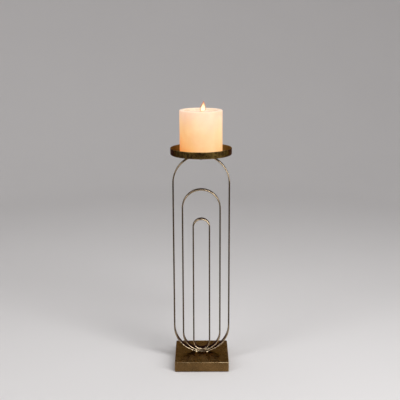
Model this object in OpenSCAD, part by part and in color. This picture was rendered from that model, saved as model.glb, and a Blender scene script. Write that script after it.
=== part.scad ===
// Free-standing holder for one pillar candle. Three nested loops of flat strip stand on a low
// weighted box base, and a round plate with a turned-up rim sits on the tallest loop.
// Millimetres, +Z up. The origin is on the table, under the middle of the base. The loops lie in
// the X-Z plane and -Y is the front.

/* [Base] */
// Length of each side of the square base
base_side = 99; // [90:1:140]
// Height of the base shell from its lower edge to its top face
base_tall = 18; // [14:0.5:30]
// Sheet thickness of the base shell
base_sheet = 1.5; // [1:0.1:2]
// Outside radius of the soft edges of the base shell
base_edge_r = 2.2; // [2.1:0.1:4]
// Gap between the table and the lower edge of the base shell
foot_gap = 1.2; // [0.6:0.1:1.6]
// Gap all round between the cast slab and the walls of the shell
slab_gap = 1.5; // [0.5:0.1:4]
// Thickness of the sheet that closes the base underneath
cover_thick = 1.8; // [1.7:0.1:3]
// Gap all round between the cover and the walls of the shell
cover_gap = 0.4; // [0.2:0.1:1]
// Diameter of each felt pad
pad_d = 12; // [8:0.5:16]
// Thickness of each felt pad
pad_thick = 2; // [1.8:0.1:3]
// Distance from the side of the base to the centre of a pad
pad_inset = 13; // [11:0.5:18]
// Distance from the middle of the base to each row of cover screws
screw_reach = 20; // [14:1:26]

/* [Loops] */
// Depth of the strip from front to back
strip_width = 12; // [11:0.5:16]
// Thickness of the strip
strip_thick = 2.5; // [2:0.1:3]
// Flat left on the narrow edges of the strip, between their rolled corners
strip_edge_flat = 0.3; // [0.2:0.1:1.2]
// Outside width of the outer loop
outer_wide = 103.5; // [90:0.5:120]
// Outside height of the outer loop
outer_tall = 376.5; // [350:0.5:450]
// Gap between the upright legs of the outer and the middle loop
middle_side_gap = 14; // [10:0.25:18]
// Gap between the top of the middle loop and the outer loop above it
middle_head_gap = 60; // [20:1:100]
// Gap between the upright legs of the middle and the inner loop
inner_side_gap = 16.75; // [12:0.25:19]
// Gap between the top of the inner loop and the middle loop above it
inner_head_gap = 52; // [20:1:90]

/* [Weld beads] */
// Radius of the beads between the outer loop and the base
foot_bead_r = 1.9; // [1.3:0.1:2.2]
// Gap between the outer loop and the base where its beads are laid
foot_bead_gap = 1; // [0.7:0.1:1.4]
// Radius of the beads between two loops
loop_bead_r = 1.3; // [1:0.1:1.6]
// Gap between the outer and the middle loop where their beads are laid
middle_bead_gap = 0.6; // [0.4:0.05:0.9]
// Gap between the middle and the inner loop where their beads are laid
inner_bead_gap = 0.85; // [0.5:0.05:1]
// How far the ends of a bead swell past the edge of the strip
bead_proud = 0.9; // [0.3:0.1:1.2]

/* [Candle plate] */
// Outside diameter of the plate
plate_d = 109.5; // [100:0.5:130]
// Height of the plate from its underside to the top of its rim
plate_tall = 12.2; // [8:0.2:16]
// Sheet thickness of the plate
plate_sheet = 1.5; // [1:0.1:2]
// Outside radius of the bend between the floor and the rim of the plate
plate_bend_r = 2.2; // [2.1:0.1:4]
// Height of the spike above the floor of the plate
spike_tall = 26; // [20:1:32]
// Diameter of the foot of the spike
spike_d = 5; // [4:0.1:5.5]
// Diameter of the tip of the spike
spike_tip_d = 0.8; // [0.6:0.1:1.2]
// Diameter of the shoulder that clamps the plate
shoulder_d = 10; // [8:0.5:13]
// Height of the shoulder
shoulder_tall = 1.6; // [1:0.1:2]
// Diameter of the threaded shank
shank_d = 5; // [4:0.1:5]
// Width of the nut across its flats
nut_flats = 8; // [7.6:0.1:9]
// Height of the nut
nut_tall = 4; // [3:0.1:5]
// Outside diameter of the flat washer
washer_d = 10; // [9:0.1:11]
// Thickness of the flat washer
washer_thick = 1; // [0.8:0.1:1.6]
// Outside diameter of the split lock washer
lock_d = 8.6; // [8:0.1:9]
// Thickness of the split lock washer
lock_thick = 1.2; // [1:0.1:1.6]
// Length of shank left below the nut
shank_spare = 0.8; // [0.5:0.1:3]

/* [Candle] */
// Diameter of the candle
candle_d = 76; // [60:1:90]
// Height of the candle
candle_tall = 77.5; // [60:0.5:150]
// Radius of the softened top edge of the candle
candle_edge_r = 1.6; // [0.8:0.1:3]
// Wax left round the melted pool at the level of the candle's top
pool_wall = 6; // [5:0.5:15]
// Depth of the melted pool
pool_deep = 3.4; // [2:0.1:5]
// Inward slope of the pool's wall, from its top to its floor
pool_slope = 3; // [1:0.5:5]
// Diameter of the recess moulded in the candle's base
recess_d = 18; // [15:0.5:24]
// Depth of the recess moulded in the candle's base
recess_deep = 2; // [1.8:0.1:2.4]
// Diameter of the braided wick
wick_d = 2.2; // [2.2:0.1:3]
// Diameter of the charred curl of the wick
wick_curl_d = 1.9; // [1.4:0.1:2.1]
// Diameter of the ember at the end of the wick
wick_ember_d = 2.3; // [2.2:0.1:3]
// Length of the wick that stands straight above the pool
wick_rise = 3; // [1:0.5:5]
// Radius of the curl of the burning wick
wick_curl_r = 5; // [4:0.5:8]
// Angle of the curl of the burning wick, in degrees
wick_curl_angle = 55; // [20:5:80]
// Length of the straight glowing end of the wick
wick_ember = 2; // [1:0.5:3]
// Wax left between the spike's hole and the lower end of the wick
wick_start = 2; // [1:0.5:4]

/* [Fits] */
// Clearance round the shank in the plate and in the outer loop
shank_gap = 0.25; // [0.1:0.05:0.4]
// Clearance round a thread
thread_gap = 0.05; // [0.03:0.01:0.1]
// Clearance of the candle's hole all round the spike
spike_gap = 0.4; // [0.3:0.1:0.8]
// Clearance round the wick in the wax
wick_gap = 0.05; // [0.02:0.01:0.1]

/* [Hidden] */
// Sides of a circle, and of a large circle that a thin bead is cut to
$fn = 96;
fine_fn = 360;

// Overrun of a cutting shape past the face that it cuts
overrun = 1;

// Countersunk cover screw: thread, head and cross recess
screw_d = 3;
screw_head_d = 5.6;
screw_head_tall = 1.6;
screw_long = 9;
screw_slot_wide = 0.7;
screw_slot_long = 3;
screw_slot_deep = 0.8;
// Clearance of the cover's holes round the screws
screw_gap = 0.2;
// Depth of a tapped hole past the end of its screw
tap_spare = 1.5;
// Width of the split in the lock washer
lock_split = 1.3;
// Size of the chamfer at the corners of the nut
nut_chamfer = 0.5;
// How far one length of the wick runs into the next
wick_lap = 0.4;

// Radius of the rolled corners of the strip
strip_edge_r = (strip_thick - strip_edge_flat) / 2;

// Outside widths and heights of the loops that stand in the outer one
middle_wide = outer_wide - 2 * (strip_thick + middle_side_gap);
middle_tall = outer_tall - 2 * strip_thick - middle_head_gap;
inner_wide = middle_wide - 2 * (strip_thick + inner_side_gap);
inner_tall = middle_tall - 2 * strip_thick - inner_head_gap;

// Heights of the faces that the pieces stand on
base_top = foot_gap + base_tall;
ceiling_z = base_top - base_sheet;
cover_low = pad_thick;
cover_high = cover_low + cover_thick;
middle_low = base_top + strip_thick;
inner_low = middle_low + strip_thick;
plate_low = base_top + outer_tall;
plate_floor = plate_low + plate_sheet;
candle_top = plate_floor + candle_tall;
pool_z = candle_top - pool_deep;

// Sides of the flat pieces inside the shell
inside_side = base_side - 2 * base_sheet;
slab_side = inside_side - 2 * slab_gap;
cover_side = inside_side - 2 * cover_gap;
pad_reach = base_side / 2 - pad_inset;

// The flat washer lies across the hollow side of the outer loop and touches it at two edges
loop_roof_z = plate_low - strip_thick;
loop_roof_r = outer_wide / 2 - strip_thick;
washer_sag = loop_roof_r - sqrt(pow(loop_roof_r, 2) - pow(washer_d / 2, 2));
washer_high = loop_roof_z - washer_sag;
lock_high = washer_high - washer_thick;
nut_high = lock_high - lock_thick;
nut_low = nut_high - nut_tall;

// Top of the cone-shaped hole that the spike leaves in the wax
spike_hole_top = plate_floor + spike_tall + spike_gap;

// Finishes as the photograph shows them
gold = [0.50, 0.40, 0.22];
dark_gold = [0.42, 0.34, 0.20];
weld_gold = [0.66, 0.56, 0.34];
dark_iron = [0.22, 0.22, 0.23];
zinc = [0.66, 0.67, 0.68];
felt = [0.10, 0.10, 0.11];
ivory = [0.95, 0.88, 0.72];
burnt = [0.16, 0.13, 0.11];

// Places a shape at the four corners of a square
module at_corners(reach) {
    for (x = [-reach, reach])
        for (y = [-reach, reach])
            translate([x, y, 0])
                children();
}

// Square block with a flat foot, and soft upright edges and top edges
module soft_block(side, tall, edge_r) {
    flat = side - 2 * edge_r;
    rise = tall - edge_r;
    translate([-side / 2, -flat / 2, 0])
        cube([side, flat, rise]);
    translate([-flat / 2, -side / 2, 0])
        cube([flat, side, rise]);
    translate([-flat / 2, -flat / 2, 0])
        cube([flat, flat, tall]);
    at_corners(flat / 2) {
        cylinder(h = rise, r = edge_r);
        translate([0, 0, rise])
            sphere(r = edge_r);
    }
    for (turn = [0 : 90 : 270])
        rotate([0, 0, turn])
            translate([-flat / 2, flat / 2, rise])
                rotate([0, 90, 0])
                    cylinder(h = flat, r = edge_r);
}

// Section of the strip: its thickness along X and its width along Y, with rolled corners
module strip_section() {
    thick_flat = strip_thick - 2 * strip_edge_r;
    width_flat = strip_width - 2 * strip_edge_r;
    square([thick_flat, strip_width], center = true);
    square([strip_thick, width_flat], center = true);
    for (x = [-thick_flat / 2, thick_flat / 2])
        for (y = [-width_flat / 2, width_flat / 2])
            translate([x, y])
                circle(r = strip_edge_r);
}

// Half ring of strip, bent on the flat, open side down
module strip_bend(bend_r) {
    rotate([90, 0, 0])
        rotate_extrude(angle = 180)
            translate([bend_r, 0])
                strip_section();
}

// Closed loop of strip with two straight runs and two round ends
module strip_loop(wide, tall, low_z) {
    bend_r = (wide - strip_thick) / 2;
    run = tall - wide;
    translate([0, 0, low_z + wide / 2]) {
        translate([0, 0, run])
            strip_bend(bend_r);
        mirror([0, 0, 1])
            strip_bend(bend_r);
        for (x = [-bend_r, bend_r])
            translate([x, 0, 0])
                linear_extrude(height = run)
                    strip_section();
    }
}

// Round bar along Y as deep as the strip, with its lowest line at low_z
module end_bar(bar_r, low_z) {
    translate([0, strip_width / 2, low_z + bar_r])
        rotate([90, 0, 0])
            cylinder(h = strip_width, r = bar_r, $fn = fine_fn);
}

// Bead of weld along Y with a round swelling at both ends
module weld_bead(bead_x, bead_z, bead_r) {
    end_y = strip_width / 2 + bead_proud - bead_r;
    translate([bead_x, end_y, bead_z])
        rotate([90, 0, 0])
            cylinder(h = 2 * end_y, r = bead_r);
    for (y = [-end_y, end_y])
        translate([bead_x, y, bead_z])
            sphere(r = bead_r);
}

// Height of a round end above its lowest line, at a distance from the centre line
function rise_at(x, end_r) = end_r - sqrt(pow(end_r, 2) - pow(x, 2));

// Distance from the centre line at which a round end has risen by a height
function reach_at(rise, end_r) = sqrt(pow(end_r, 2) - pow(end_r - rise, 2));

// Distance from the centre line at which two round ends, one standing in the other, are a gap apart
function reach_between(gap, lower_r, upper_r) =
    let (centres = lower_r - upper_r + gap)
    let (drop = ((pow(lower_r, 2) - pow(upper_r, 2)) / centres + centres) / 2)
    sqrt(pow(lower_r, 2) - pow(drop, 2));

// Two beads, one each side, in the gap between a lower loop and the loop that stands in it
module bead_pair(bead_gap, lower_wide, lower_z, upper_wide) {
    lower_in_r = lower_wide / 2 - strip_thick;
    lower_in_z = lower_z + strip_thick;
    upper_r = upper_wide / 2;
    bead_x = reach_between(bead_gap, lower_in_r, upper_r);
    for (x = [-bead_x, bead_x])
        difference() {
            weld_bead(x, lower_in_z + rise_at(bead_x, lower_in_r) + bead_gap / 2, loop_bead_r);
            end_bar(upper_r, lower_in_z);
            difference() {
                end_bar(lower_wide / 2, lower_z);
                end_bar(lower_in_r, lower_in_z);
            }
        }
}

module base_shell() {
    color(gold)
        translate([0, 0, foot_gap])
            difference() {
                soft_block(base_side, base_tall, base_edge_r);
                translate([0, 0, -overrun])
                    soft_block(inside_side, base_tall - base_sheet + overrun,
                        base_edge_r - base_sheet);
            }
}

module ballast_plate() {
    tap_deep = screw_long - cover_thick + tap_spare;
    color(dark_iron)
        difference() {
            translate([-slab_side / 2, -slab_side / 2, cover_high])
                cube([slab_side, slab_side, ceiling_z - cover_high]);
            at_corners(screw_reach)
                translate([0, 0, cover_high - overrun])
                    cylinder(h = tap_deep + overrun, r = screw_d / 2 + thread_gap);
        }
}

module base_cover() {
    hole_r = screw_d / 2 + screw_gap;
    sink_r = screw_head_d / 2 + screw_gap;
    color(dark_iron)
        difference() {
            translate([-cover_side / 2, -cover_side / 2, cover_low])
                cube([cover_side, cover_side, cover_thick]);
            at_corners(screw_reach) {
                translate([0, 0, cover_low - overrun])
                    cylinder(h = cover_thick + 2 * overrun, r = hole_r);
                translate([0, 0, cover_low])
                    cylinder(h = screw_head_tall, r1 = sink_r, r2 = hole_r);
            }
        }
}

module cover_screws() {
    color(zinc)
        at_corners(screw_reach)
            translate([0, 0, cover_low])
                difference() {
                    union() {
                        cylinder(h = screw_head_tall, r1 = screw_head_d / 2, r2 = screw_d / 2);
                        cylinder(h = screw_long, r = screw_d / 2);
                    }
                    for (turn = [0, 90])
                        rotate([0, 0, turn])
                            translate([-screw_slot_long / 2, -screw_slot_wide / 2, -overrun])
                                cube([screw_slot_long, screw_slot_wide,
                                    screw_slot_deep + overrun]);
                }
}

module foot_pads() {
    color(felt)
        at_corners(pad_reach)
            cylinder(h = pad_thick, r = pad_d / 2);
}

module outer_loop() {
    color(gold)
        difference() {
            strip_loop(outer_wide, outer_tall, base_top);
            translate([0, 0, loop_roof_z - overrun])
                cylinder(h = strip_thick + 2 * overrun, r = shank_d / 2 + shank_gap);
        }
}

module middle_loop() {
    color(gold)
        strip_loop(middle_wide, middle_tall, middle_low);
}

module inner_loop() {
    color(gold)
        strip_loop(inner_wide, inner_tall, inner_low);
}

module foot_welds() {
    bead_x = reach_at(foot_bead_gap, outer_wide / 2);
    color(weld_gold)
        for (x = [-bead_x, bead_x])
            difference() {
                weld_bead(x, base_top + foot_bead_gap / 2, foot_bead_r);
                end_bar(outer_wide / 2, base_top);
                translate([x - 2 * foot_bead_r, -strip_width, base_top - 4 * foot_bead_r])
                    cube([4 * foot_bead_r, 2 * strip_width, 4 * foot_bead_r]);
            }
}

module loop_welds() {
    color(weld_gold) {
        bead_pair(middle_bead_gap, outer_wide, base_top, middle_wide);
        bead_pair(inner_bead_gap, middle_wide, middle_low, inner_wide);
    }
}

module candle_plate() {
    wall_in = plate_d / 2 - plate_sheet;
    bend_in = plate_bend_r - plate_sheet;
    lip_r = plate_sheet / 2;
    color(dark_gold)
        translate([0, 0, plate_low])
            difference() {
                rotate_extrude() {
                    square([plate_d / 2 - plate_bend_r, plate_sheet]);
                    translate([wall_in, plate_bend_r])
                        square([plate_sheet, plate_tall - plate_bend_r - lip_r]);
                    translate([plate_d / 2 - lip_r, plate_tall - lip_r])
                        circle(r = lip_r);
                    translate([plate_d / 2 - plate_bend_r, plate_bend_r])
                        intersection() {
                            difference() {
                                circle(r = plate_bend_r);
                                circle(r = bend_in);
                            }
                            translate([0, -plate_bend_r])
                                square([plate_bend_r, plate_bend_r]);
                        }
                }
                translate([0, 0, -overrun])
                    cylinder(h = plate_sheet + 2 * overrun, r = shank_d / 2 + shank_gap);
            }
}

module pricket() {
    color(zinc) {
        translate([0, 0, nut_low - shank_spare])
            cylinder(h = plate_floor - nut_low + shank_spare, r = shank_d / 2);
        translate([0, 0, plate_floor])
            cylinder(h = shoulder_tall, r = shoulder_d / 2);
        translate([0, 0, plate_floor + shoulder_tall])
            cylinder(h = spike_tall - shoulder_tall, r1 = spike_d / 2, r2 = spike_tip_d / 2);
    }
}

module plate_washer() {
    color(zinc)
        translate([0, 0, lock_high])
            difference() {
                cylinder(h = washer_thick, r = washer_d / 2);
                translate([0, 0, -overrun])
                    cylinder(h = washer_thick + 2 * overrun, r = shank_d / 2 + shank_gap);
            }
}

module lock_washer() {
    color(zinc)
        translate([0, 0, nut_high])
            difference() {
                cylinder(h = lock_thick, r = lock_d / 2);
                translate([0, 0, -overrun])
                    cylinder(h = lock_thick + 2 * overrun, r = shank_d / 2 + shank_gap);
                translate([0, -lock_split / 2, -overrun])
                    cube([lock_d, lock_split, lock_thick + 2 * overrun]);
            }
}

module plate_nut() {
    corner_r = nut_flats / 2 / cos(30);
    color(zinc)
        translate([0, 0, nut_low])
            difference() {
                intersection() {
                    cylinder(h = nut_tall, r = corner_r, $fn = 6);
                    union() {
                        cylinder(h = nut_chamfer, r1 = corner_r - nut_chamfer, r2 = corner_r);
                        translate([0, 0, nut_chamfer])
                            cylinder(h = nut_tall - 2 * nut_chamfer, r = corner_r);
                        translate([0, 0, nut_tall - nut_chamfer])
                            cylinder(h = nut_chamfer, r1 = corner_r, r2 = corner_r - nut_chamfer);
                    }
                }
                translate([0, 0, -overrun])
                    cylinder(h = nut_tall + 2 * overrun, r = shank_d / 2 + thread_gap);
            }
}

module candle_wax() {
    body_r = candle_d / 2;
    hole_r = spike_d / 2 + spike_gap;
    hole_tip_r = spike_tip_d / 2 + spike_gap;
    pool_r = body_r - pool_wall;
    color(ivory)
        difference() {
            translate([0, 0, plate_floor])
                rotate_extrude() {
                    square([body_r, candle_tall - candle_edge_r]);
                    square([body_r - candle_edge_r, candle_tall]);
                    translate([body_r - candle_edge_r, candle_tall - candle_edge_r])
                        circle(r = candle_edge_r);
                }
            translate([0, 0, pool_z])
                cylinder(h = pool_deep + overrun, r1 = pool_r - pool_slope,
                    r2 = pool_r + pool_slope * overrun / pool_deep);
            translate([0, 0, plate_floor - overrun])
                cylinder(h = recess_deep + overrun, r = recess_d / 2);
            translate([0, 0, plate_floor + shoulder_tall])
                cylinder(h = spike_hole_top - plate_floor - shoulder_tall, r1 = hole_r,
                    r2 = hole_tip_r);
            translate([0, 0, spike_hole_top + wick_start])
                cylinder(h = candle_top - spike_hole_top - wick_start + overrun,
                    r = wick_d / 2 + wick_gap);
        }
}

module wick() {
    curl_z = pool_z + wick_rise;
    ember_x = wick_curl_r * (1 - cos(wick_curl_angle));
    ember_z = curl_z + wick_curl_r * sin(wick_curl_angle);
    color(burnt) {
        translate([0, 0, spike_hole_top + wick_start])
            cylinder(h = curl_z + wick_lap - spike_hole_top - wick_start, r = wick_d / 2);
        translate([wick_curl_r, 0, curl_z])
            mirror([1, 0, 0])
                rotate([90, 0, 0])
                    rotate_extrude(angle = wick_curl_angle)
                        translate([wick_curl_r, 0])
                            circle(r = wick_curl_d / 2);
        translate([ember_x, 0, ember_z])
            rotate([0, wick_curl_angle, 0])
                translate([0, 0, -wick_lap])
                    cylinder(h = wick_ember + wick_lap, r = wick_ember_d / 2);
    }
}

base_shell();
ballast_plate();
base_cover();
cover_screws();
foot_pads();
outer_loop();
middle_loop();
inner_loop();
foot_welds();
loop_welds();
candle_plate();
pricket();
plate_washer();
lock_washer();
plate_nut();
candle_wax();
wick();
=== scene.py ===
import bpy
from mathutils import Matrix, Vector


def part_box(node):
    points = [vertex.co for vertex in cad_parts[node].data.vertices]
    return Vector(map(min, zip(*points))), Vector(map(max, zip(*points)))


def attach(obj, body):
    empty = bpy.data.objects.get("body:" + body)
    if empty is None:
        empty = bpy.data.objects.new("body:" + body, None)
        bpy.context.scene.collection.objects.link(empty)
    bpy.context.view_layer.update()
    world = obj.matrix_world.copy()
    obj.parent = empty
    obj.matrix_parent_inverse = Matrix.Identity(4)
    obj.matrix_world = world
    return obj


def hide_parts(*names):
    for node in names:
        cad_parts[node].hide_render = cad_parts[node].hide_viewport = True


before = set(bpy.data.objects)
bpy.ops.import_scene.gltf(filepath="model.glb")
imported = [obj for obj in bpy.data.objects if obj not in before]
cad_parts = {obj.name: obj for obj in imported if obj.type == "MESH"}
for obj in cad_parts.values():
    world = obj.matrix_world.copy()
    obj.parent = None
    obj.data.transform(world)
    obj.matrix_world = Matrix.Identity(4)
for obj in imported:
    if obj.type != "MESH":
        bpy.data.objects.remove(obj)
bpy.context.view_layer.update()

import math

import bmesh
import bpy
from mathutils import Matrix, Vector, noise

# The camera stands where the photograph was taken from: 1.3 m in front of the holder, a little
# above the candle and tilted down, with the photograph's field of view.
EYE = Vector((-0.0022, -1.2904, 0.6131))
TILT_DOWN = math.radians(13.12)
ROLL = math.radians(-0.22)
SENSOR_MM = 36.0
LENS_MM = 66.18

camera = bpy.data.objects.new("camera", bpy.data.cameras.new("camera"))
camera.data.sensor_width = SENSOR_MM
camera.data.lens = LENS_MM
camera.matrix_world = (
    Matrix.Translation(EYE)
    @ Matrix.Rotation(math.pi / 2 - TILT_DOWN, 4, "X")
    @ Matrix.Rotation(ROLL, 4, "Z")
)
bpy.context.scene.collection.objects.link(camera)
bpy.context.scene.camera = camera
bpy.context.scene.view_settings.view_transform = "Standard"


# The studio is a round room of pale paper: a flat floor that curves up into a wall all round, so
# that every view has the same plain ground. It isn't part of the object.
PAPER = (0.76, 0.745, 0.745)
PAPER_SHADE = 0.985
ROOM_R = 2.6
ROOM_SIDES = 96
FLOOR_SHARES = (0, 0.02, 0.08, 0.2, 0.4)
SWEEP_R = 1.2
SWEEP_STEPS = 24
WALL_TALL = 3.2
CLOUDS_LOW, CLOUDS_HIGH = 0.3, 0.7  # most of the noise of every finish lies between these


def placed(name, mesh):
    """The mesh as a smooth object in the scene."""
    data = bpy.data.meshes.new(name)
    mesh.to_mesh(data)
    mesh.free()
    data.shade_smooth()
    piece = bpy.data.objects.new(name, data)
    bpy.context.scene.collection.objects.link(piece)
    return piece


def turned(name, outline, around, shape=None):
    """A piece turned about Z from (radius, height) points. shape may move each point."""
    mesh = bmesh.new()
    rings = []
    for radius, height in outline:
        count = around if radius > 0 else 1
        ring = []
        for step in range(count):
            angle = 2 * math.pi * step / around
            point = Vector((radius * math.cos(angle), radius * math.sin(angle), height))
            ring.append(mesh.verts.new(shape(point) if shape else point))
        rings.append(ring)
    for low, high in zip(rings, rings[1:]):
        for step in range(around):
            after = (step + 1) % around
            corners = [low[step % len(low)], low[after % len(low)],
                       high[after % len(high)], high[step % len(high)]]
            face = list(dict.fromkeys(corners))
            if len(face) > 2:
                mesh.faces.new(face)
    bmesh.ops.recalc_face_normals(mesh, faces=mesh.faces)
    return placed(name, mesh)


def arc(centre, radius, start, end, steps):
    """Points along an arc in the (radius, height) plane, angles in degrees."""
    angles = [math.radians(start + (end - start) * i / steps) for i in range(steps + 1)]
    return [(centre[0] + radius * math.cos(a), centre[1] + radius * math.sin(a)) for a in angles]


def shaded(colour, share):
    """The colour made darker or lighter."""
    return tuple(tone * share for tone in colour)


class Finish:
    """A material with one Principled shader, and short ways to add the nodes that feed it."""

    def __init__(self, name, **sockets):
        self.material = bpy.data.materials.new(name)
        self.material.use_nodes = True
        self.tree = self.material.node_tree
        self.shader = self.tree.nodes["Principled BSDF"]
        for word, value in sockets.items():
            self.socket(word).default_value = value

    def socket(self, word):
        """The shader's socket of that name, such as base_color."""
        return self.shader.inputs[word.replace("_", " ").title().replace("Ior", "IOR")]

    def feed(self, word, output):
        """Links an output to a socket of the shader."""
        self.tree.links.new(output, self.socket(word))

    def add(self, kind, settings=(), **inputs):
        """A new node. An input goes by its name or as _number, and takes a value or an output."""
        node = self.tree.nodes.new(kind)
        for word, value in dict(settings).items():
            setattr(node, word, value)
        for word, value in inputs.items():
            target = node.inputs[int(word[1:])] if word[0] == "_" else node.inputs[word]
            if isinstance(value, bpy.types.NodeSocket):
                self.tree.links.new(value, target)
            else:
                target.default_value = value
        return node

    def places(self, scale=(1, 1, 1)):
        """Places on the piece in metres, stretched by a scale."""
        where = self.add("ShaderNodeTexCoord").outputs["Object"]
        return self.add("ShaderNodeMapping", Vector=where, Scale=scale).outputs["Vector"]

    def place_parts(self):
        """X, Y and Z of the places on the piece."""
        return self.add("ShaderNodeSeparateXYZ", Vector=self.places()).outputs

    def grain(self, size, stretch=(1, 1, 1), detail=4.0, rough=0.55):
        """Noise from 0 to 1 whose patches are about size metres across."""
        where = self.places(tuple(share / size for share in stretch))
        cloud = self.add("ShaderNodeTexNoise", Vector=where, Scale=1.0, Detail=detail,
                         Roughness=rough)
        return cloud.outputs["Fac"]

    def calc(self, operation, first, second=0.0):
        """One step of arithmetic on two numbers."""
        return self.add("ShaderNodeMath", {"operation": operation}, _0=first, _1=second).outputs[0]

    def both(self, first, second):
        """Two shares multiplied, which is full only where both are."""
        return self.calc("MULTIPLY", first, second)

    def spread(self, value, low, high, new_low=0, new_high=1):
        """The value taken from one range to another, and kept within it."""
        node = self.add("ShaderNodeMapRange", _0=value, _1=low, _2=high, _3=new_low, _4=new_high)
        return node.outputs[0]

    def uneven(self, clouds, low, high):
        """A number that wanders between two values with the clouds."""
        return self.spread(clouds, CLOUDS_LOW, CLOUDS_HIGH, low, high)

    def tones(self, value, stops):
        """Colours at their places along a value from 0 to 1."""
        ramp = self.add("ShaderNodeValToRGB", Fac=value)
        band = ramp.color_ramp.elements
        while len(band) < len(stops):
            band.new(0.5)
        for mark, (place, colour) in zip(band, stops):
            mark.position = place
            mark.color = (*colour, 1)
        return ramp.outputs["Color"]

    def mixed(self, share, first, second):
        """Two colours mixed by a share."""
        node = self.add("ShaderNodeMix", {"data_type": "RGBA"}, _0=share, _6=first, _7=second)
        return node.outputs[2]

    def relief(self, height, depth, under=None):
        """Relief of that depth in metres, on top of the relief under it."""
        inputs = {"Height": height, "Distance": depth, "Strength": 1.0}
        if under is not None:
            inputs["Normal"] = under
        return self.add("ShaderNodeBump", **inputs).outputs["Normal"]


def paper_finish():
    paper = Finish("pale_paper", roughness=0.95, specular_ior_level=0.1)
    shade = shaded(PAPER, PAPER_SHADE)
    paper.feed("base_color", paper.tones(paper.grain(0.5, detail=2.0),
                                         [(CLOUDS_LOW, PAPER), (CLOUDS_HIGH, shade)]))
    return paper.material


sweep = [(ROOM_R * share, 0.0) for share in FLOOR_SHARES]
sweep += arc((ROOM_R - SWEEP_R, SWEEP_R), SWEEP_R, -90, 0, SWEEP_STEPS) + [(ROOM_R, WALL_TALL)]
room = turned("studio_room", sweep, ROOM_SIDES)
room.data.materials.append(paper_finish())


# The studio light is soft and white: a long soft box that slants from overhead down to the right,
# where the photograph has its highlights, a weaker one down to the left, and the room's own light.
LAMP_AIM = Vector((0, 0, 0.26))
LAMP_SPREAD = math.radians(120)
ROOM_TINT = (1.0, 0.99, 0.98, 1)
ROOM_LIGHT = 0.46


def soft_box(name, upper_end, lower_end, wide, power):
    """A long soft box between two places, turned towards the holder. Power is in watts."""
    upper_end, lower_end = Vector(upper_end), Vector(lower_end)
    middle = (upper_end + lower_end) / 2
    along = (upper_end - lower_end).normalized()
    back = middle - LAMP_AIM
    back = (back - along * back.dot(along)).normalized()
    lamp = bpy.data.lights.new(name, "AREA")
    lamp.shape = "RECTANGLE"
    lamp.size = wide
    lamp.size_y = (upper_end - lower_end).length
    lamp.energy = power
    lamp.spread = LAMP_SPREAD
    box = bpy.data.objects.new(name, lamp)
    turn = Matrix((along.cross(back), along, back)).transposed()
    box.matrix_world = Matrix.Translation(middle) @ turn.to_4x4()
    box.visible_camera = False
    bpy.context.scene.collection.objects.link(box)


soft_box("right_box", upper_end=(0.08, -1.0, 1.9), lower_end=(1.6, -1.0, 0.55), wide=0.4, power=13)
soft_box("left_box", upper_end=(-0.45, -0.85, 1.75), lower_end=(-1.6, -0.85, 0.6), wide=0.35,
         power=3)

world = bpy.data.worlds.new("room_light")
world.use_nodes = True
world.node_tree.nodes["Background"].inputs["Color"].default_value = ROOM_TINT
world.node_tree.nodes["Background"].inputs["Strength"].default_value = ROOM_LIGHT
bpy.context.scene.world = world


# The base is a shallow square box pressed from steel sheet, open underneath, with soft edges. It
# is lacquered in antique gold, with a paler colour on the flat top. Its edges are rubbed light,
# and near the right side they are lighter still, which is a painted highlight.
GOLD = (0.165, 0.094, 0.034)
GOLD_TOP = (0.232, 0.146, 0.072)
GOLD_WORN_AND_GLINT = (0.450, 0.340, 0.200)
PATINA = [(0.3, 0.74), (0.5, 1.0), (0.72, 1.28)]  # shares of the colour along the clouds
LACQUER = {"metallic": 1.0, "coat_weight": 0.07, "coat_roughness": 0.12,
           "specular_tint": (0.40, 0.28, 0.16, 1)}
EDGE_FACING, FLAT_FACING = 0.78, 0.97
SIDE_FACING, TOP_FACING = 0.9, 0.99
GLINT_FROM_X, GLINT_FULL_X = 0.030, 0.036
WEAR_AWAY_FROM_GLINT = 0.35


def patina(gold, colour, size, stretch=(1, 1, 1)):
    """The colour, broken up by soft darker and lighter clouds of about that size."""
    clouds = gold.grain(size, stretch, detail=6.0)
    return gold.tones(clouds, [(place, shaded(colour, share)) for place, share in PATINA])


def facing(finish):
    """How far the surface faces along X, Y and Z, without a sign."""
    normal = finish.add("ShaderNodeTexCoord").outputs["Normal"]
    parts = finish.add("ShaderNodeSeparateXYZ", Vector=normal).outputs
    return [finish.calc("ABSOLUTE", part) for part in parts]


def base_finish():
    gold = Finish("base_gold", **LACQUER)
    across, ahead, up = facing(gold)
    flatness = gold.calc("MAXIMUM", gold.calc("MAXIMUM", across, ahead), up)
    edge = gold.spread(flatness, EDGE_FACING, FLAT_FACING, new_low=1, new_high=0)
    along = gold.place_parts()["X"]
    # Edges are lighter from wear, and lighter still near the right side, which is a painted
    # highlight.
    worn = gold.both(gold.spread(along, GLINT_FROM_X, GLINT_FULL_X, new_low=WEAR_AWAY_FROM_GLINT),
                     gold.spread(gold.grain(0.009), 0.35, 0.6, new_low=0.5))
    # The flat top takes a paler colour of its own.
    flat_top = gold.both(gold.spread(up, SIDE_FACING, TOP_FACING),
                     gold.spread(gold.grain(0.03), 0.3, 0.65, new_low=0.8))
    body = gold.mixed(flat_top, patina(gold, GOLD, 0.02), patina(gold, GOLD_TOP, 0.014))
    gold.feed("base_color", gold.mixed(gold.both(edge, worn), body, (*GOLD_WORN_AND_GLINT, 1)))
    gold.feed("roughness", gold.uneven(gold.grain(0.007), 0.22, 0.34))
    orange_peel = gold.relief(gold.grain(0.003, detail=2.0), depth=0.000012)
    waves = gold.relief(gold.grain(0.025, detail=2.0), depth=0.00008, under=orange_peel)
    gold.feed("normal", waves)
    return gold.material


def dress(node, material):
    """Gives a CAD node its finish."""
    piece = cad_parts[node]
    piece.data.materials.clear()
    piece.data.materials.append(material)


dress("base_shell", base_finish())


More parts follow.
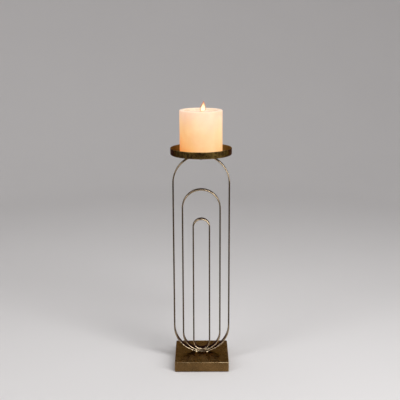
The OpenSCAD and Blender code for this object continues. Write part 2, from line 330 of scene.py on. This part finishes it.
# Out of sight in the base lies a slab of cast iron that keeps the tall holder upright. A sheet
# coated in black powder closes it in, on four zinc-plated screws that run into the slab, and four
# felt pads keep the box off the table.
IRON = (0.055, 0.055, 0.058)
POWDER_BLACK = (0.012, 0.012, 0.013)
ZINC = (0.33, 0.32, 0.30)
FELT_GREY = (0.017, 0.017, 0.019)
FELT_DARKEST, FELT_LIGHTEST = 0.5, 2.2


def slab_finish():
    iron = Finish("cast_iron", metallic=0.6)
    iron.feed("base_color", patina(iron, IRON, 0.004))
    iron.feed("roughness", iron.uneven(iron.grain(0.002), 0.6, 0.85))
    iron.feed("normal", iron.relief(iron.grain(0.0012, detail=6.0), depth=0.0002))
    return iron.material


def cover_finish():
    coat = Finish("black_powder_coat", specular_ior_level=0.45)
    coat.feed("base_color", patina(coat, POWDER_BLACK, 0.012))
    coat.feed("roughness", coat.uneven(coat.grain(0.004), 0.42, 0.58))
    coat.feed("normal", coat.relief(coat.grain(0.0009, detail=2.0), depth=0.00006))
    return coat.material


def zinc_finish():
    zinc = Finish("zinc_steel", metallic=1.0)
    zinc.feed("base_color", patina(zinc, ZINC, 0.003))
    zinc.feed("roughness", zinc.uneven(zinc.grain(0.001, (1, 1, 8)), 0.24, 0.42))
    zinc.feed("normal", zinc.relief(zinc.grain(0.0006, (1, 1, 10)), depth=0.00001))
    return zinc.material


def felt_finish():
    wool = Finish("pressed_felt", roughness=0.95, sheen_weight=0.5, sheen_roughness=0.5)
    fibres = wool.grain(0.0006, (1, 1, 2.5), detail=8.0, rough=0.75)
    wool.feed("base_color", wool.tones(fibres, [(CLOUDS_LOW, shaded(FELT_GREY, FELT_DARKEST)),
                                                (CLOUDS_HIGH, shaded(FELT_GREY, FELT_LIGHTEST))]))
    wool.feed("normal", wool.relief(fibres, depth=0.0003))
    return wool.material


zinc_steel = zinc_finish()
dress("ballast_plate", slab_finish())
dress("base_cover", cover_finish())
dress("cover_screws", zinc_steel)
dress("foot_pads", felt_finish())


# The three loops are flat steel strip with rolled edges, bent on the flat, closed and ground
# smooth, one standing in the other. The lacquer is dark on the flat faces, which carry fine lines
# from rolling, and paler on the narrow edges; the dark of the flat faces is partly painted shade.
# Where the edges go round the bends they carry painted highlights.
# The flat faces are dark partly from the lacquer and partly from painted shade, standing for the
# dark reflections they show.
STRIP_DARK = (0.038, 0.021, 0.008)
STRIP_EDGE = (0.105, 0.070, 0.038)
STRIP_HIGHLIGHT = (0.850, 0.670, 0.450)
NARROW_FACING = (0.25, 0.8)
# The painted highlight lies on the rounded corners of the edges, weaker on the flat front.
CORNER_FACING = (0.45, 0.6)
FRONT_FACING = (0.9, 0.97)
FRONT_HIGHLIGHT = 0.2
LINES_PALER = 0.06
LEG_FADE = 0.008  # how far the painted highlight runs out along the straight legs
LOWER_FADE_SHARE = 0.8  # shares of a bend's radius, from the loop's foot or top
UPPER_FULL_SHARE, UPPER_FADE_SHARE = 0.55, 0.95
UPPER_END_HIGHLIGHT = 0.15
LEFT_X = -0.030
LEFT_HIGHLIGHT_SHARE = 0.65
SEAM_LOW, SEAM_HIGH = 0.0022, 0.0036  # up to here a loop lies close on the next, and painted shade weakens its painted highlight
SEAM_HIGHLIGHT_SHARE = {"outer_loop": 0.4, "middle_loop": 0.4, "inner_loop": 1}


def bends_highlight(gold, loop):
    """How strongly the bends of a loop carry the painted highlight, from 0 to 1."""
    low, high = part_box(loop)
    bend_r = high.x
    across, _, height = gold.place_parts()
    lower_bend = gold.spread(height, low.z + LOWER_FADE_SHARE * bend_r,
                             low.z + bend_r + LEG_FADE, new_low=1, new_high=0)
    upper_bend = gold.spread(height, high.z - UPPER_FADE_SHARE * bend_r,
                             high.z - UPPER_FULL_SHARE * bend_r, new_low=UPPER_END_HIGHLIGHT)
    upper_bend = gold.both(upper_bend, gold.spread(height, high.z - bend_r - LEG_FADE,
                                                   high.z - bend_r))
    # Painted shade where the loops lie close on each other weakens the painted highlight.
    seam = gold.spread(height, low.z + SEAM_LOW, low.z + SEAM_HIGH, new_low=SEAM_HIGHLIGHT_SHARE[loop])
    # Less painted highlight on the left side, which is painted shade.
    left = gold.spread(across, LEFT_X, 0, new_low=LEFT_HIGHLIGHT_SHARE)
    return gold.both(gold.both(gold.calc("MAXIMUM", lower_bend, upper_bend), seam), left)


def strip_finish(loop):
    gold = Finish(loop + "_gold", **LACQUER)
    ahead = facing(gold)[1]
    edge = gold.both(gold.spread(ahead, *NARROW_FACING),
                     gold.spread(gold.grain(0.012), 0.3, 0.6, new_low=0.55))
    corner = gold.both(gold.spread(ahead, *CORNER_FACING),
                       gold.spread(ahead, *FRONT_FACING, new_low=1, new_high=FRONT_HIGHLIGHT))
    # Painted highlights on the edges' corners at the bends.
    narrow = gold.mixed(gold.both(bends_highlight(gold, loop), corner),
                        patina(gold, STRIP_EDGE, 0.006), patina(gold, STRIP_HIGHLIGHT, 0.006))
    body = gold.mixed(edge, patina(gold, STRIP_DARK, 0.014), narrow)
    lines = gold.grain(0.0005, (0.02, 1, 0.02), detail=3.0)
    gold.feed("base_color", gold.mixed(gold.spread(lines, 0.35, 0.75, new_high=LINES_PALER), body,
                                       (*STRIP_EDGE, 1)))
    gold.feed("roughness", gold.uneven(gold.grain(0.006), 0.18, 0.3))
    gold.feed("normal", gold.relief(lines, depth=0.000012))
    return gold.material


for loop in ("outer_loop", "middle_loop", "inner_loop"):
    dress(loop, strip_finish(loop))


# Small weld beads hold the outer loop to the base and the loops to each other, lacquered with the
# rest. Those near the middle stand proud and carry a painted highlight in a pale bright gold. The
# two further out, between the outer and the middle loop, lie deeper and keep the dull tone of the
# strip.
BEAD_GLINT_GOLD = (0.930, 0.790, 0.560)
GLINT_WITHIN_X, DULL_BEYOND_X = 0.012, 0.016


def bead_finish():
    gold = Finish("bead_gold", **LACQUER)
    ripple = gold.grain(0.0007, (1, 2.2, 1), detail=3.0)
    bright = gold.tones(ripple, [(0.3, shaded(BEAD_GLINT_GOLD, 0.85)), (0.6, BEAD_GLINT_GOLD)])
    aside = gold.calc("ABSOLUTE", gold.place_parts()["X"])
    # The beads near the middle take the painted highlight; those further out keep the strip's
    # tone.
    gold.feed("base_color", gold.mixed(gold.spread(aside, GLINT_WITHIN_X, DULL_BEYOND_X), bright,
                                       patina(gold, STRIP_EDGE, 0.003)))
    gold.feed("roughness", gold.uneven(ripple, 0.18, 0.34))
    gold.feed("normal", gold.relief(ripple, depth=0.00003))
    return gold.material


bead_gold = bead_finish()
dress("foot_welds", bead_gold)
dress("loop_welds", bead_gold)


# The candle plate is spun from steel sheet, with a turned-up rim and a rolled lip. Its lacquer is
# darker and more mottled than the base's, and fine round lines from spinning show in it. Painted
# shade darkens it towards the left. Inside it is duller, where hot wax has been wiped away, and
# lighter: a painted reflection of the candle's warm glow.
PLATE_GOLD = (0.172, 0.112, 0.031)
PLATE_DARK = (0.078, 0.044, 0.013)
PLATE_LEFT_SHADE = (0.030, 0.014, 0.006)
PLATE_INSIDE_GLOW = (0.345, 0.262, 0.118)
PLATE_LIP = (0.330, 0.240, 0.110)
PLATE_SHEET = 0.0015
SPUN_LINES = 2600.0  # lines to a metre
LEFT_SHADE_FULL_X, LEFT_SHADE_END_X = -0.052, -0.015
LEFT_SHADE_MOST = 0.6
WALL_BLEND = 0.0002
FLOOR_BLEND = (0.0006, 0.0010)
INSIDE_DULLER = 1.6
LIP_DEEP = 0.0011
plate_low, plate_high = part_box("candle_plate")


def from_axis(finish, parts):
    """How far the places on the piece lie from the upright axis."""
    flat_place = finish.add("ShaderNodeCombineXYZ", X=parts["X"], Y=parts["Y"]).outputs[0]
    length = finish.add("ShaderNodeVectorMath", {"operation": "LENGTH"}, _0=flat_place)
    return length.outputs["Value"]


def plate_finish():
    gold = Finish("plate_gold", **LACQUER)
    parts = gold.place_parts()
    height = parts["Z"]
    radius = from_axis(gold, parts)
    mottle = gold.spread(gold.grain(0.006, detail=5.0), 0.42, 0.62)
    body = gold.mixed(mottle, patina(gold, PLATE_DARK, 0.01), patina(gold, PLATE_GOLD, 0.008))
    # Painted shade darkens the plate towards its left side.
    left_shade = gold.spread(parts["X"], LEFT_SHADE_FULL_X, LEFT_SHADE_END_X, new_low=LEFT_SHADE_MOST, new_high=0)
    body = gold.mixed(left_shade, body, (*PLATE_LEFT_SHADE, 1))
    wall_r = plate_high.x - PLATE_SHEET / 2
    within = gold.spread(radius, wall_r - WALL_BLEND, wall_r + WALL_BLEND, new_low=1, new_high=0)
    inside = gold.both(within, gold.spread(height, *(plate_low.z + rise for rise in FLOOR_BLEND)))
    # The inside is lighter with a painted reflection of the candle's warm glow.
    body = gold.mixed(inside, body, patina(gold, PLATE_INSIDE_GLOW, 0.009))
    lip = gold.spread(height, plate_high.z - LIP_DEEP, plate_high.z - LIP_DEEP / 3)
    worn = gold.both(lip, gold.spread(gold.grain(0.01), 0.35, 0.6, new_low=0.25, new_high=0.9))
    gold.feed("base_color", gold.mixed(worn, body, (*PLATE_LIP, 1)))
    satin = gold.uneven(gold.grain(0.005), 0.22, 0.4)
    duller = gold.spread(inside, 0, 1, new_low=1, new_high=INSIDE_DULLER)
    gold.feed("roughness", gold.both(satin, duller))
    ring_place = gold.add("ShaderNodeCombineXYZ", X=radius, Z=height).outputs[0]
    rings = gold.add("ShaderNodeTexNoise", Vector=ring_place, Scale=SPUN_LINES, Detail=3.0)
    lines = gold.relief(rings.outputs["Fac"], depth=0.000012)
    gold.feed("normal", gold.relief(gold.grain(0.007, detail=2.0), depth=0.00008, under=lines))
    return gold.material


dress("candle_plate", plate_finish())


# A steel spike holds the candle upright. Its shoulder and the washers and nut under the loop clamp
# the plate. The spike is turned to a sharp tip, and the shank below the plate is threaded.
spike_low, spike_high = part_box("pricket")
nut_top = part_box("plate_nut")[1].z
PLATE_FLOOR = plate_low.z + PLATE_SHEET
SPIKE_SIDES = 64
SPIKE_FOOT_R = 0.0025
SPIKE_TIP_R = 0.0004
SHOULDER_R = 0.005
SHOULDER_TALL = 0.0016
SHANK_R = 0.0025
THREAD_PITCH = 0.0008
THREAD_DEEP = 0.00022
THREAD_STEPS = 10
CHAMFER = 0.0004


def threaded(point):
    """Cuts a screw thread in the shank, which runs out just above the nut."""
    if point.z > nut_top or point.xy.length < SHANK_R - CHAMFER / 2:
        return point
    turn = (point.z / THREAD_PITCH - math.atan2(point.y, point.x) / (2 * math.pi)) % 1
    share = 1 - THREAD_DEEP * abs(2 * turn - 1) / SHANK_R
    return Vector((point.x * share, point.y * share, point.z))


shank_rise = nut_top - spike_low.z
shank_rings = round(shank_rise / THREAD_PITCH * THREAD_STEPS)
shoulder_top = PLATE_FLOOR + SHOULDER_TALL
spike_outline = [(0, spike_low.z), (SHANK_R - CHAMFER, spike_low.z)]
spike_outline += [(SHANK_R, spike_low.z + CHAMFER + (shank_rise - CHAMFER) * i / shank_rings)
                  for i in range(shank_rings + 1)]
spike_outline += [
    (SHANK_R, PLATE_FLOOR),
    (SHOULDER_R - CHAMFER / 2, PLATE_FLOOR),
    (SHOULDER_R, PLATE_FLOOR + CHAMFER / 2),
    (SHOULDER_R, shoulder_top - CHAMFER),
    (SHOULDER_R - CHAMFER, shoulder_top),
    (SPIKE_FOOT_R + CHAMFER, shoulder_top),
    (SPIKE_FOOT_R, shoulder_top + CHAMFER),
    (SPIKE_TIP_R, spike_high.z - SPIKE_TIP_R / 2),
    (SPIKE_TIP_R / 2, spike_high.z),
    (0, spike_high.z),
]
spike = turned("candle_spike", spike_outline, SPIKE_SIDES, threaded)
spike.data.materials.append(zinc_steel)
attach(spike, "holder")
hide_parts("pricket")
for node in ("plate_washer", "lock_washer", "plate_nut"):
    dress(node, zinc_steel)


# The candle is a pillar of cast ivory wax, burnt for a while: a shallow pool of melted wax lies
# inside a soft rim. The flame shines through the wax, cream near it and amber further down, and
# its light reaches further down on the right than on the left.
wax_low, wax_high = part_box("candle_wax")
wick_low, wick_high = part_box("wick")
WAX_R = wax_high.x
WAX_SIDES = 192
WAX_RINGS = 30
POOL_DEEP = 0.0034
POOL_Z = wax_high.z - POOL_DEEP
POOL_SHARES = (0.75, 0.6, 0.45, 0.3, 0.15)
POOL_EDGE = [(0.0022, 0.0010), (0.0030, 0.0003), (0.0042, 0.0)]  # inwards, and above the pool
POOL_SKIN = (0.002, 0.001)  # the glow changes between these depths under the pool's surface
POOL_SHORE = (0.003, 0.001)  # and the melted wax ends between these places inside the rim
RIM_WIDE = 0.006
RIM_CREST_SHARE, RIM_CREST_SINK = 0.6, 0.0001
RIM_ROUND = 0.0016
RIM_MELT_R = 0.0012
RIM_MELT_DEEP = 0.0014
FOOT_ROUND = 0.0009
RECESS_R = 0.009
RECESS_DEEP = 0.002
SPIKE_ROOM = 0.0004
WICK_R = 0.0011
WICK_HOLE_R = 1.05 * WICK_R
WICK_MOUND = [(2.2, 0.0001), (1.5, 0.0003), (1.08, 0.0008)]  # wick radii out, and above the pool
STILL_R = 0.02  # nothing inside this radius waves
SIDE_WAVES, SIDE_DEEP = 38, 0.00016
RIM_WAVES, RIM_DEEP, RIM_SEED = 46, 0.0006, Vector((3, 1, 7))
INNER_DEEP, INNER_SEED, INNER_CALMED = 0.0012, Vector((8, 2, 4)), 0.5
SHRINK, SINK = 0.00012, 0.0003  # how far the side and the rim drew back while the wax cooled
TOP_SLOPES = (0.25, 0.8)
WAX = (0.46, 0.35, 0.22)
GLOW_TOP = (0.60, 0.46, 0.38)
GLOW_POOL = (0.41, 0.30, 0.23)
GLOW_TONES = [(0.0, (0.66, 0.41, 0.32)), (0.25, (0.66, 0.355, 0.16)), (0.5, (0.66, 0.31, 0.085)),
              (0.75, (0.66, 0.225, 0.02)), (1.0, (0.64, 0.17, 0.01))]
GLOW_REACH = [(0.0, 0.066), (0.25, 0.101), (0.5, 0.175), (0.75, 0.175), (1.0, 0.115)]
GLOW_CLOUD = 0.03
LIQUID_ROUGHNESS = 0.16


def poured(point):
    """Wax cast and burnt isn't quite true: its side waves a little, and its rim more."""
    radius = point.xy.length
    if radius < STILL_R or point.z < wax_low.z + 2 * FOOT_ROUND:
        return point
    side = noise.noise(point * SIDE_WAVES) * SIDE_DEEP
    melt = max(0.0, min(1.0, (point.z - POOL_Z) / POOL_DEEP))
    around = Vector((point.x, point.y, 0)) * RIM_WAVES
    rim = noise.noise(around + RIM_SEED) * RIM_DEEP * melt
    inner = noise.noise(around + INNER_SEED) * INNER_DEEP * (radius < WAX_R - RIM_ROUND)
    share = 1 + (side - SHRINK + inner * (1 - melt * INNER_CALMED)) / radius
    return Vector((point.x * share, point.y * share, point.z + rim - SINK * melt))


pool_r = WAX_R - RIM_WIDE
spike_room_top = spike_high.z + SPIKE_ROOM
wax_outline = [(0, spike_room_top), (SPIKE_TIP_R + SPIKE_ROOM, spike_room_top),
               (SPIKE_FOOT_R + SPIKE_ROOM, wax_low.z + RECESS_DEEP),
               (RECESS_R, wax_low.z + RECESS_DEEP), (RECESS_R, wax_low.z)]
wax_outline += arc((WAX_R - FOOT_ROUND, wax_low.z + FOOT_ROUND), FOOT_ROUND, -90, 0, 4)
wax_outline += [(WAX_R, wax_low.z + (wax_high.z - wax_low.z) * i / WAX_RINGS)
                for i in range(1, WAX_RINGS - 1)]
wax_outline += arc((WAX_R - RIM_ROUND, wax_high.z - RIM_ROUND), RIM_ROUND, 0, 90, 6)
wax_outline += [(WAX_R - RIM_CREST_SHARE * RIM_WIDE, wax_high.z - RIM_CREST_SINK)]
wax_outline += arc((pool_r, wax_high.z - RIM_MELT_DEEP), RIM_MELT_R, 70, 150, 5)
wax_outline += [(pool_r - inwards, POOL_Z + rise) for inwards, rise in POOL_EDGE]
wax_outline += [(pool_r * share, POOL_Z) for share in POOL_SHARES]
wax_outline += [(share * WICK_R, POOL_Z + rise) for share, rise in WICK_MOUND]
wax_outline += [(WICK_HOLE_R, POOL_Z), (WICK_HOLE_R, wick_low.z), (0, wick_low.z)]


def wax_finish():
    wax = Finish("ivory_wax", subsurface_weight=0.3, subsurface_radius=(1.0, 0.5, 0.25),
                 subsurface_scale=0.012, specular_ior_level=0.4, emission_strength=1.0)
    wax.feed("base_color", patina(wax, WAX, 0.05))
    parts = wax.place_parts()
    upper = wax.spread(parts["Z"], *(POOL_Z - depth for depth in POOL_SKIN))
    top = wax.both(wax.spread(facing(wax)[2], *TOP_SLOPES), upper)
    shore = [pool_r - inwards for inwards in POOL_SHORE]
    pool = wax.spread(from_axis(wax, parts), *shore, new_low=1, new_high=0)
    liquid = wax.both(pool, upper)

    across = wax.spread(parts["X"], -WAX_R, WAX_R)
    reach = wax.tones(across, [(share, (deep, deep, deep)) for share, deep in GLOW_REACH])
    below = wax.calc("DIVIDE", wax.calc("SUBTRACT", wax_high.z, parts["Z"]), reach)
    cloud = wax.uneven(wax.grain(0.02, detail=2.0), -GLOW_CLOUD, GLOW_CLOUD)
    side_glow = wax.tones(wax.calc("ADD", below, cloud), GLOW_TONES)
    top_glow = wax.mixed(liquid, (*GLOW_TOP, 1), (*GLOW_POOL, 1))
    wax.feed("emission_color", wax.mixed(top, side_glow, top_glow))

    dry = wax.uneven(wax.grain(0.003), 0.36, 0.5)
    wax.feed("roughness", wax.add("ShaderNodeMix", _0=liquid, _2=dry,
                                  _3=LIQUID_ROUGHNESS).outputs[0])
    bloom = wax.relief(wax.grain(0.0015, detail=3.0), depth=0.00002)
    wax.feed("normal", wax.relief(wax.grain(0.012, (1, 1, 0.6), detail=2.0), depth=0.0001,
                                  under=bloom))
    return wax.material


candle = turned("candle_body", wax_outline, WAX_SIDES, poured)
candle.data.materials.append(wax_finish())
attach(candle, "candle")
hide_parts("candle_wax")


# The wick is a flat braid of three cotton strands that runs up through the wax. Above the pool it
# is charred, curls over in the flame and glows at its end.
WICK_RISE = 0.003
WICK_CURL_R = 0.005
WICK_CURL = math.radians(55)
WICK_STRAIGHT = 0.0022
BRAID_WIDE = 0.00058
BRAID_THICK = 0.00034
BRAID_PITCH = 0.0052
STRANDS = 3
STRAND_R = 0.00050
STRAND_END_SHARE = 0.55
STRAND_SIDES = 8
STRAND_STEP = 0.00022
CHAR_TONES = [(0.35, (0.012, 0.009, 0.008)), (0.75, (0.09, 0.075, 0.065))]
COTTON_TONES = [(0.3, (0.55, 0.44, 0.28)), (0.7, (0.74, 0.62, 0.42))]
CHARRING = (0.0005, 0.0025)  # from raw to charred, above the pool
EMBER_END = (0.0022, 0.0006)  # from dark to glowing, below the wick's end
EMBER = (1.0, 0.24, 0.05, 1)
NO_LIGHT = (0, 0, 0, 1)


def wick_line(length):
    """Place and direction on the wick's centre line, at a length above its start in the wax."""
    straight = POOL_Z + WICK_RISE - wick_low.z
    if length <= straight:
        return Vector((0, 0, wick_low.z + length)), 0.0
    lean = min((length - straight) / WICK_CURL_R, WICK_CURL)
    past = max(0.0, length - straight - WICK_CURL_R * WICK_CURL)
    place = Vector((WICK_CURL_R * (1 - math.cos(lean)) + past * math.sin(lean), 0,
                    POOL_Z + WICK_RISE + WICK_CURL_R * math.sin(lean) + past * math.cos(lean)))
    return place, lean


def strand_point(length, phase):
    """A point on the middle of a strand of the braid."""
    place, lean = wick_line(length)
    turn = 2 * math.pi * length / BRAID_PITCH + phase
    aside = Vector((math.cos(lean), 0, -math.sin(lean)))
    over = Vector((0, BRAID_WIDE * math.sin(turn), 0))
    return place + over + aside * BRAID_THICK * math.sin(2 * turn)


def strand(mesh, phase, length):
    """A round strand swept along its path in the braid."""
    steps = round(length / STRAND_STEP)
    rings = []
    for step in range(steps + 1):
        along = length * step / steps
        centre = strand_point(along, phase)
        ahead = (strand_point(along + STRAND_STEP, phase) - centre).normalized()
        side = ahead.cross(Vector((0, 1, 0))).normalized()
        out = ahead.cross(side)
        radius = STRAND_R * (1.0 if 0 < step < steps else STRAND_END_SHARE)
        rings.append([mesh.verts.new(centre + radius * (side * math.cos(a) + out * math.sin(a)))
                      for a in (2 * math.pi * i / STRAND_SIDES for i in range(STRAND_SIDES))])
    for low, high in zip(rings, rings[1:]):
        for i in range(STRAND_SIDES):
            after = (i + 1) % STRAND_SIDES
            mesh.faces.new((low[i], low[after], high[after], high[i]))
    mesh.faces.new(rings[0])
    mesh.faces.new(rings[-1])


def wick_finish():
    cotton = Finish("charred_cotton", roughness=0.85, emission_strength=1.6)
    height = cotton.place_parts()["Z"]
    fibres = cotton.grain(0.0004, detail=5.0)
    charring = cotton.spread(height, *(POOL_Z + rise for rise in CHARRING))
    cotton.feed("base_color", cotton.mixed(charring, cotton.tones(fibres, COTTON_TONES),
                                           cotton.tones(fibres, CHAR_TONES)))
    end = cotton.spread(height, *(wick_high.z - drop for drop in EMBER_END))
    cotton.feed("emission_color", cotton.mixed(end, NO_LIGHT, EMBER))
    cotton.feed("normal", cotton.relief(cotton.grain(0.00025, (1, 1, 3)), depth=0.00008))
    return cotton.material


braid = bmesh.new()
wick_length = POOL_Z + WICK_RISE - wick_low.z + WICK_CURL_R * WICK_CURL + WICK_STRAIGHT
for number in range(STRANDS):
    strand(braid, 2 * math.pi * number / STRANDS, wick_length)
bmesh.ops.recalc_face_normals(braid, faces=braid.faces)
wick = placed("braided_wick", braid)
wick.data.materials.append(wick_finish())
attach(wick, "candle")
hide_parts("wick")


# The flame stands on the curl of the wick. It has a bright body, white-yellow below and orange at
# its tip, inside a thin reddish veil that can be seen through.
FLAME_LOW = POOL_Z + 0.0004
FLAME_TALL = 0.0155
FLAME_R = 0.0039
FLAME_FOOT_X = 0.0026
FLAME_TIP_X = 0.0048
LEAN_CURVE = 0.8
SWELL_LOW, SWELL_FULL, TIP_THIN = 0.52, 0.8, 0.25
FLAME_RINGS = 40
FLAME_SIDES = 48
VEIL_TALL = 1.2 * FLAME_TALL
VEIL_R = 1.55 * FLAME_R
FLAME_TONES = [(0.0, (0.75, 0.42, 0.16)), (0.18, (1.0, 0.86, 0.60)), (0.62, (1.0, 0.80, 0.48)),
               (0.95, (1.0, 0.42, 0.12))]
VEIL_TONES = [(0.0, (1.0, 0.50, 0.22)), (1.0, (0.9, 0.20, 0.08))]


def flame_shape(name, tall, radius):
    """A drop with a round foot and a drawn-out tip, leaning the way the wick curls."""
    outline = []
    for i in range(FLAME_RINGS + 1):
        share = i / FLAME_RINGS
        swell = math.sin(math.pi * share ** SWELL_LOW) ** SWELL_FULL * (1 - TIP_THIN * share)
        outline.append((radius * swell if 0 < i < FLAME_RINGS else 0, FLAME_LOW + tall * share))

    def leaning(point):
        share = max(0.0, (point.z - FLAME_LOW) / tall)
        lean = FLAME_FOOT_X + (FLAME_TIP_X - FLAME_FOOT_X) * share ** LEAN_CURVE
        return Vector((point.x + lean, point.y, point.z))

    return turned(name, outline, FLAME_SIDES, leaning)


def burning(name, tall, tones, flicker, size, **light):
    """Gas that gives light of its own, toned from its foot to its tip with a little flicker."""
    fire = Finish(name, base_color=NO_LIGHT, roughness=1.0, specular_ior_level=0.0, **light)
    share = fire.spread(fire.place_parts()["Z"], FLAME_LOW, FLAME_LOW + tall)
    wander = fire.spread(fire.grain(size), 0, 1, new_low=-flicker, new_high=flicker)
    fire.feed("emission_color", fire.tones(fire.calc("ADD", share, wander), tones))
    return fire.material


flame = flame_shape("flame_body", FLAME_TALL, FLAME_R)
flame.data.materials.append(burning("flame_light", FLAME_TALL, FLAME_TONES, flicker=0.04,
                                    size=0.003, emission_strength=2.0))
veil = flame_shape("flame_veil", VEIL_TALL, VEIL_R)
veil.data.materials.append(burning("flame_veil", VEIL_TALL, VEIL_TONES, flicker=0.05, size=0.004,
                                   emission_strength=1.0, alpha=0.28))
for light in (flame, veil):
    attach(light, "candle")
